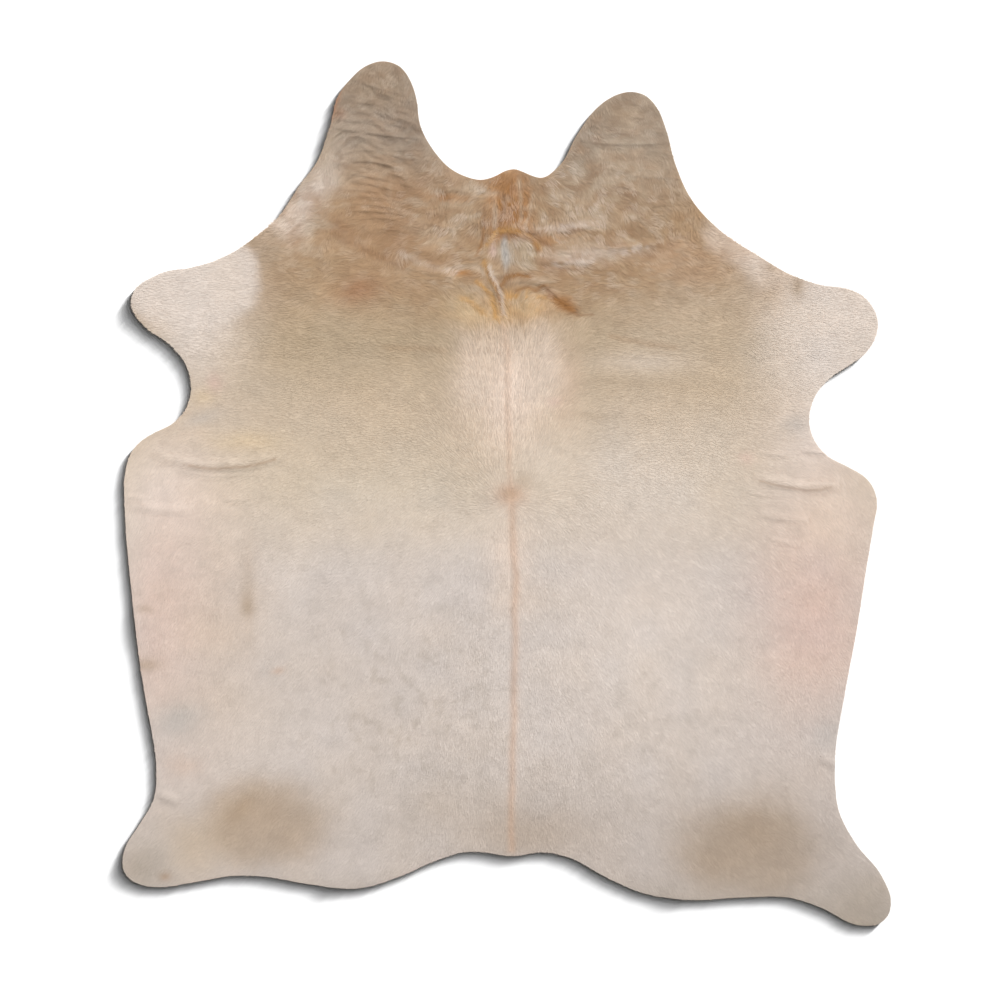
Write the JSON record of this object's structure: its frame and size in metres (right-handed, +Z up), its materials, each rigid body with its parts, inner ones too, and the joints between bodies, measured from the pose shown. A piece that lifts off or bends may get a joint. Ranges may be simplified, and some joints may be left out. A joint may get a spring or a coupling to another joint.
{
  "type": "hair-on leather hide",
  "caption": "Whole cowhide with its short pale tan hair on, trimmed to legs and neck flaps, lying flat with low creases in the neck and armpits.",
  "frame": {"origin": "centre of the bounding box at the underside, where the flesh side rests", "axes": "+X across the hide, +Y along its spine towards the neck, +Z up out of the hair side"},
  "size_m": [1.881, 2.117, 0.0108],
  "materials": {
    "hide": "short lying hair, matt with a faint sheen"
  },
  "bodies": {
    "root": {"hide": "hide"}
  },
  "joints": []
}
